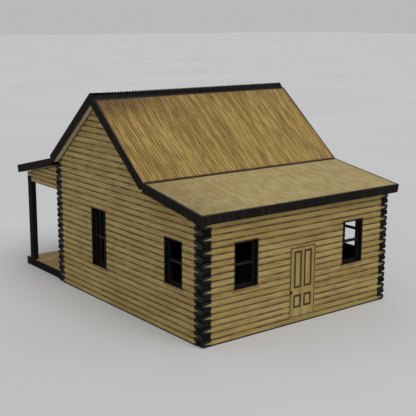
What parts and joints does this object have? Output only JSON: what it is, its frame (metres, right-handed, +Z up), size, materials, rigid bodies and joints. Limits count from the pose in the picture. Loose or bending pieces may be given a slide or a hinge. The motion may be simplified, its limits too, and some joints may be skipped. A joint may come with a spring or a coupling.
{
  "type": "miniature log cabin",
  "caption": "Tabletop terrain log cabin of laser-cut boards: notched log corners, sashed windows, open porch, lean-to and a lift-off gabled roof.",
  "frame": {"origin": "on the table surface, below the middle of the whole model's outline", "axes": "+Z up, porch and front wall towards -Y, lean-to towards +Y, right gable wall towards +X"},
  "size_m": [0.0884, 0.125, 0.0752],
  "materials": {
    "wall_ply": "matte engraved plywood with scorched cut edges",
    "floor_ply": "matte bare plywood with scorched cut edges",
    "sash_ply": "matte scorched thin plywood",
    "porch_ply": "matte plywood, mostly scorched",
    "shake_ply": "matte plywood engraved with running lines",
    "plain_roof_ply": "matte bare plywood",
    "rib_ply": "matte bare plywood with scorched cut edges"
  },
  "bodies": {
    "house": {"left_wall": "wall_ply", "right_wall": "wall_ply", "front_wall": "wall_ply", "rear_wall": "wall_ply", "house_floor": "floor_ply", "porch_deck": "floor_ply", "main_sash_left": "sash_ply", "main_sash_right": "sash_ply", "lean_to_sash_left": "sash_ply", "lean_to_sash_right": "sash_ply", "front_sash_left": "sash_ply", "front_sash_right": "sash_ply", "rear_sash_left": "sash_ply", "rear_sash_right": "sash_ply", "porch_front_frame": "porch_ply", "left_porch_beam": "porch_ply", "right_porch_beam": "porch_ply"},
    "roof": {"roof_front_panel": "shake_ply", "roof_rear_panel": "shake_ply", "lean_to_roof_panel": "plain_roof_ply", "porch_roof_panel": "plain_roof_ply", "left_roof_rib": "rib_ply", "right_roof_rib": "rib_ply", "left_porch_rib": "rib_ply", "right_porch_rib": "rib_ply"}
  },
  "joints": [
    {"name": "roof_lift", "type": "slide", "parent": "house", "child": "roof", "axis": [0, 0, 1], "range_m": [0, 0.045]}
  ]
}
